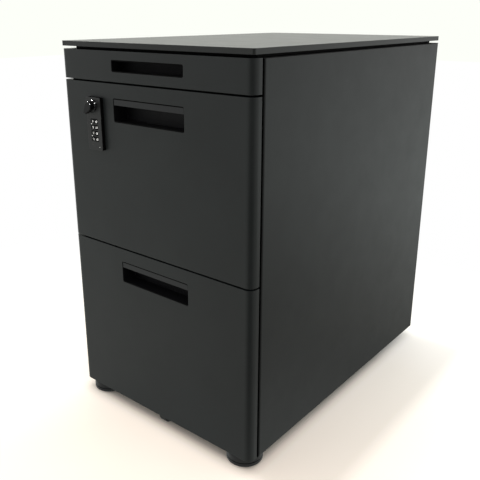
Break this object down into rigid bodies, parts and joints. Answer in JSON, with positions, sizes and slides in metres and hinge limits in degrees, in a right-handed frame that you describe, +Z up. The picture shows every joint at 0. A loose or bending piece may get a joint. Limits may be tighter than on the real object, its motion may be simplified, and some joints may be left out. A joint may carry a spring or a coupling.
{
  "type": "rolling pedestal cabinet",
  "caption": "Steel under-desk pedestal cabinet on castors, with a slim pen drawer over deep drawers, recessed finger pulls with latch paddles, and a dial lock with a turn lever.",
  "frame": {"origin": "centre of the whole object's box, at the floor", "axes": "+X to the right of someone facing the drawers, +Y from the drawer fronts to the back, +Z up"},
  "size_m": [0.4, 0.618, 0.65],
  "materials": {
    "body_paint": "fine matt powder coat",
    "top_paint": "fine matt powder coat",
    "inner_paint": "satin powder coat",
    "cup_plastic": "fine moulded grain",
    "paddle_paint": "satin paint",
    "lock_black": "satin moulded",
    "zinc_steel": "zinc plated",
    "caster_nylon": "moulded nylon",
    "wheel_rubber": "matt rubber"
  },
  "bodies": {
    "carcass": {"left_side_panel": "body_paint", "right_side_panel": "body_paint", "back_panel": "body_paint", "base_pan": "body_paint", "top_deck": "body_paint", "top_plate": "top_paint", "upper_cross_rail": "body_paint", "lower_cross_rail": "body_paint", "outer_slides": "zinc_steel", "caster_plates": "zinc_steel", "glide_sockets": "zinc_steel", "carcass_screws": "zinc_steel"},
    "lock_bar": {"lock_bar": "zinc_steel"},
    "top_drawer": {"top_front": "body_paint", "top_front_liner": "body_paint", "top_handle_cup": "cup_plastic", "top_box": "inner_paint", "pen_tray": "cup_plastic", "top_inner_slides": "zinc_steel"},
    "middle_slides": {"middle_mid_slides": "zinc_steel"},
    "middle_drawer": {"middle_front": "body_paint", "middle_front_liner": "body_paint", "middle_handle_cup": "cup_plastic", "middle_box": "inner_paint", "middle_inner_slides": "zinc_steel", "middle_divider": "inner_paint", "lock_housing": "lock_black"},
    "middle_latch": {"middle_latch_paddle": "paddle_paint", "middle_latch_shaft": "zinc_steel", "middle_latch_spring": "zinc_steel"},
    "lock_knob": {"lock_knob": "lock_black"},
    "lock_bolt": {"lock_bolt": "zinc_steel"},
    "lock_dial_1": {"lock_dial_1": "lock_black"},
    "lock_dial_2": {"lock_dial_2": "lock_black"},
    "lock_dial_3": {"lock_dial_3": "lock_black"},
    "lock_dial_4": {"lock_dial_4": "lock_black"},
    "bottom_slides": {"bottom_mid_slides": "zinc_steel"},
    "bottom_drawer": {"bottom_front": "body_paint", "bottom_front_liner": "body_paint", "bottom_handle_cup": "cup_plastic", "bottom_box": "inner_paint", "bottom_inner_slides": "zinc_steel", "file_rails": "zinc_steel", "anti_tip_fork": "zinc_steel"},
    "bottom_latch": {"bottom_latch_paddle": "paddle_paint", "bottom_latch_shaft": "zinc_steel", "bottom_latch_spring": "zinc_steel"},
    "anti_tip_wheel": {"anti_tip_wheel": "wheel_rubber"},
    "front_left_fork": {"front_left_caster_fork": "caster_nylon"},
    "front_left_wheels": {"front_left_caster_wheels": "wheel_rubber"},
    "front_right_fork": {"front_right_caster_fork": "caster_nylon"},
    "front_right_wheels": {"front_right_caster_wheels": "wheel_rubber"},
    "rear_left_fork": {"rear_left_caster_fork": "caster_nylon"},
    "rear_left_wheels": {"rear_left_caster_wheels": "wheel_rubber"},
    "rear_right_fork": {"rear_right_caster_fork": "caster_nylon"},
    "rear_right_wheels": {"rear_right_caster_wheels": "wheel_rubber"},
    "left_spindle": {"left_glide_spindle": "zinc_steel"},
    "left_disc": {"left_glide_disc": "caster_nylon"},
    "right_spindle": {"right_glide_spindle": "zinc_steel"},
    "right_disc": {"right_glide_disc": "caster_nylon"}
  },
  "joints": [
    {"name": "top_drawer_slide", "type": "slide", "parent": "carcass", "child": "top_drawer", "axis": [0, -1, 0], "range_m": [0, 0.34]},
    {"name": "middle_drawer_slide", "type": "slide", "parent": "carcass", "child": "middle_drawer", "axis": [0, -1, 0], "range_m": [0, 0.5]},
    {"name": "middle_slides_slide", "type": "slide", "parent": "carcass", "child": "middle_slides", "axis": [0, -1, 0], "range_m": [0, 0.25]},
    {"name": "bottom_drawer_slide", "type": "slide", "parent": "carcass", "child": "bottom_drawer", "axis": [0, -1, 0], "range_m": [0, 0.5]},
    {"name": "bottom_slides_slide", "type": "slide", "parent": "carcass", "child": "bottom_slides", "axis": [0, -1, 0], "range_m": [0, 0.25]},
    {"name": "middle_latch_hinge", "type": "hinge", "parent": "middle_drawer", "child": "middle_latch", "pos_m": [0, -0.2868, 0.5628], "axis": [-1, 0, 0], "range_deg": [0, 15], "stiffness_Nm_per_rad": 0.2, "springref_deg": -9.74},
    {"name": "bottom_latch_hinge", "type": "hinge", "parent": "bottom_drawer", "child": "bottom_latch", "pos_m": [0, -0.2868, 0.2893], "axis": [-1, 0, 0], "range_deg": [0, 15], "stiffness_Nm_per_rad": 0.2, "springref_deg": -9.74},
    {"name": "lock_knob_turn", "type": "hinge", "parent": "middle_drawer", "child": "lock_knob", "pos_m": [-0.1176, -0.2975, 0.552], "axis": [0, -1, 0], "range_deg": [0, 91]},
    {"name": "lock_bolt_slide", "type": "slide", "parent": "middle_drawer", "child": "lock_bolt", "axis": [0, 0, 1], "range_m": [0, 0.0082]},
    {"name": "lock_bar_slide", "type": "slide", "parent": "carcass", "child": "lock_bar", "axis": [0, 0, 1], "range_m": [0, 0.008]},
    {"name": "lock_dial_1_turn", "type": "hinge", "parent": "middle_drawer", "child": "lock_dial_1", "pos_m": [-0.1176, -0.288, 0.5265], "axis": [0, 0, 1], "continuous": true},
    {"name": "lock_dial_2_turn", "type": "hinge", "parent": "middle_drawer", "child": "lock_dial_2", "pos_m": [-0.1176, -0.288, 0.5169], "axis": [0, 0, 1], "continuous": true},
    {"name": "lock_dial_3_turn", "type": "hinge", "parent": "middle_drawer", "child": "lock_dial_3", "pos_m": [-0.1176, -0.288, 0.5073], "axis": [0, 0, 1], "continuous": true},
    {"name": "lock_dial_4_turn", "type": "hinge", "parent": "middle_drawer", "child": "lock_dial_4", "pos_m": [-0.1176, -0.288, 0.4977], "axis": [0, 0, 1], "continuous": true},
    {"name": "front_left_swivel", "type": "hinge", "parent": "carcass", "child": "front_left_fork", "pos_m": [-0.157, -0.196, 0.05], "axis": [0, 0, 1], "continuous": true},
    {"name": "front_left_roll", "type": "hinge", "parent": "front_left_fork", "child": "front_left_wheels", "pos_m": [-0.157, -0.186, 0.018], "axis": [1, 0, 0], "continuous": true},
    {"name": "front_right_swivel", "type": "hinge", "parent": "carcass", "child": "front_right_fork", "pos_m": [0.157, -0.196, 0.05], "axis": [0, 0, 1], "continuous": true},
    {"name": "front_right_roll", "type": "hinge", "parent": "front_right_fork", "child": "front_right_wheels", "pos_m": [0.157, -0.186, 0.018], "axis": [1, 0, 0], "continuous": true},
    {"name": "rear_left_swivel", "type": "hinge", "parent": "carcass", "child": "rear_left_fork", "pos_m": [-0.157, 0.251, 0.05], "axis": [0, 0, 1], "continuous": true},
    {"name": "rear_left_roll", "type": "hinge", "parent": "rear_left_fork", "child": "rear_left_wheels", "pos_m": [-0.157, 0.261, 0.018], "axis": [1, 0, 0], "continuous": true},
    {"name": "rear_right_swivel", "type": "hinge", "parent": "carcass", "child": "rear_right_fork", "pos_m": [0.157, 0.251, 0.05], "axis": [0, 0, 1], "continuous": true},
    {"name": "rear_right_roll", "type": "hinge", "parent": "rear_right_fork", "child": "rear_right_wheels", "pos_m": [0.157, 0.261, 0.018], "axis": [1, 0, 0], "continuous": true},
    {"name": "left_glide_screw", "type": "slide", "parent": "carcass", "child": "left_spindle", "axis": [0, 0, -1], "range_m": [0, 0.003]},
    {"name": "left_glide_turn", "type": "hinge", "parent": "left_spindle", "child": "left_disc", "pos_m": [-0.166, -0.26, 0.012], "axis": [0, 0, 1], "continuous": true},
    {"name": "right_glide_screw", "type": "slide", "parent": "carcass", "child": "right_spindle", "axis": [0, 0, -1], "range_m": [0, 0.003]},
    {"name": "right_glide_turn", "type": "hinge", "parent": "right_spindle", "child": "right_disc", "pos_m": [0.166, -0.26, 0.012], "axis": [0, 0, 1], "continuous": true},
    {"name": "anti_tip_roll", "type": "hinge", "parent": "bottom_drawer", "child": "anti_tip_wheel", "pos_m": [0, -0.2695, 0.016], "axis": [1, 0, 0], "continuous": true}
  ],
  "couplings": [
    {"joint": "middle_slides_slide", "follows": "middle_drawer_slide", "ratio": 0.5},
    {"joint": "bottom_slides_slide", "follows": "bottom_drawer_slide", "ratio": 0.5},
    {"joint": "lock_bolt_slide", "follows": "lock_bar_slide", "ratio": 1},
    {"joint": "lock_knob_turn", "follows": "lock_bar_slide", "rad_per_m": 196.35},
    {"joint": "left_glide_turn", "follows": "left_glide_screw", "rad_per_m": 2094.4},
    {"joint": "right_glide_turn", "follows": "right_glide_screw", "rad_per_m": 2094.4}
  ]
}
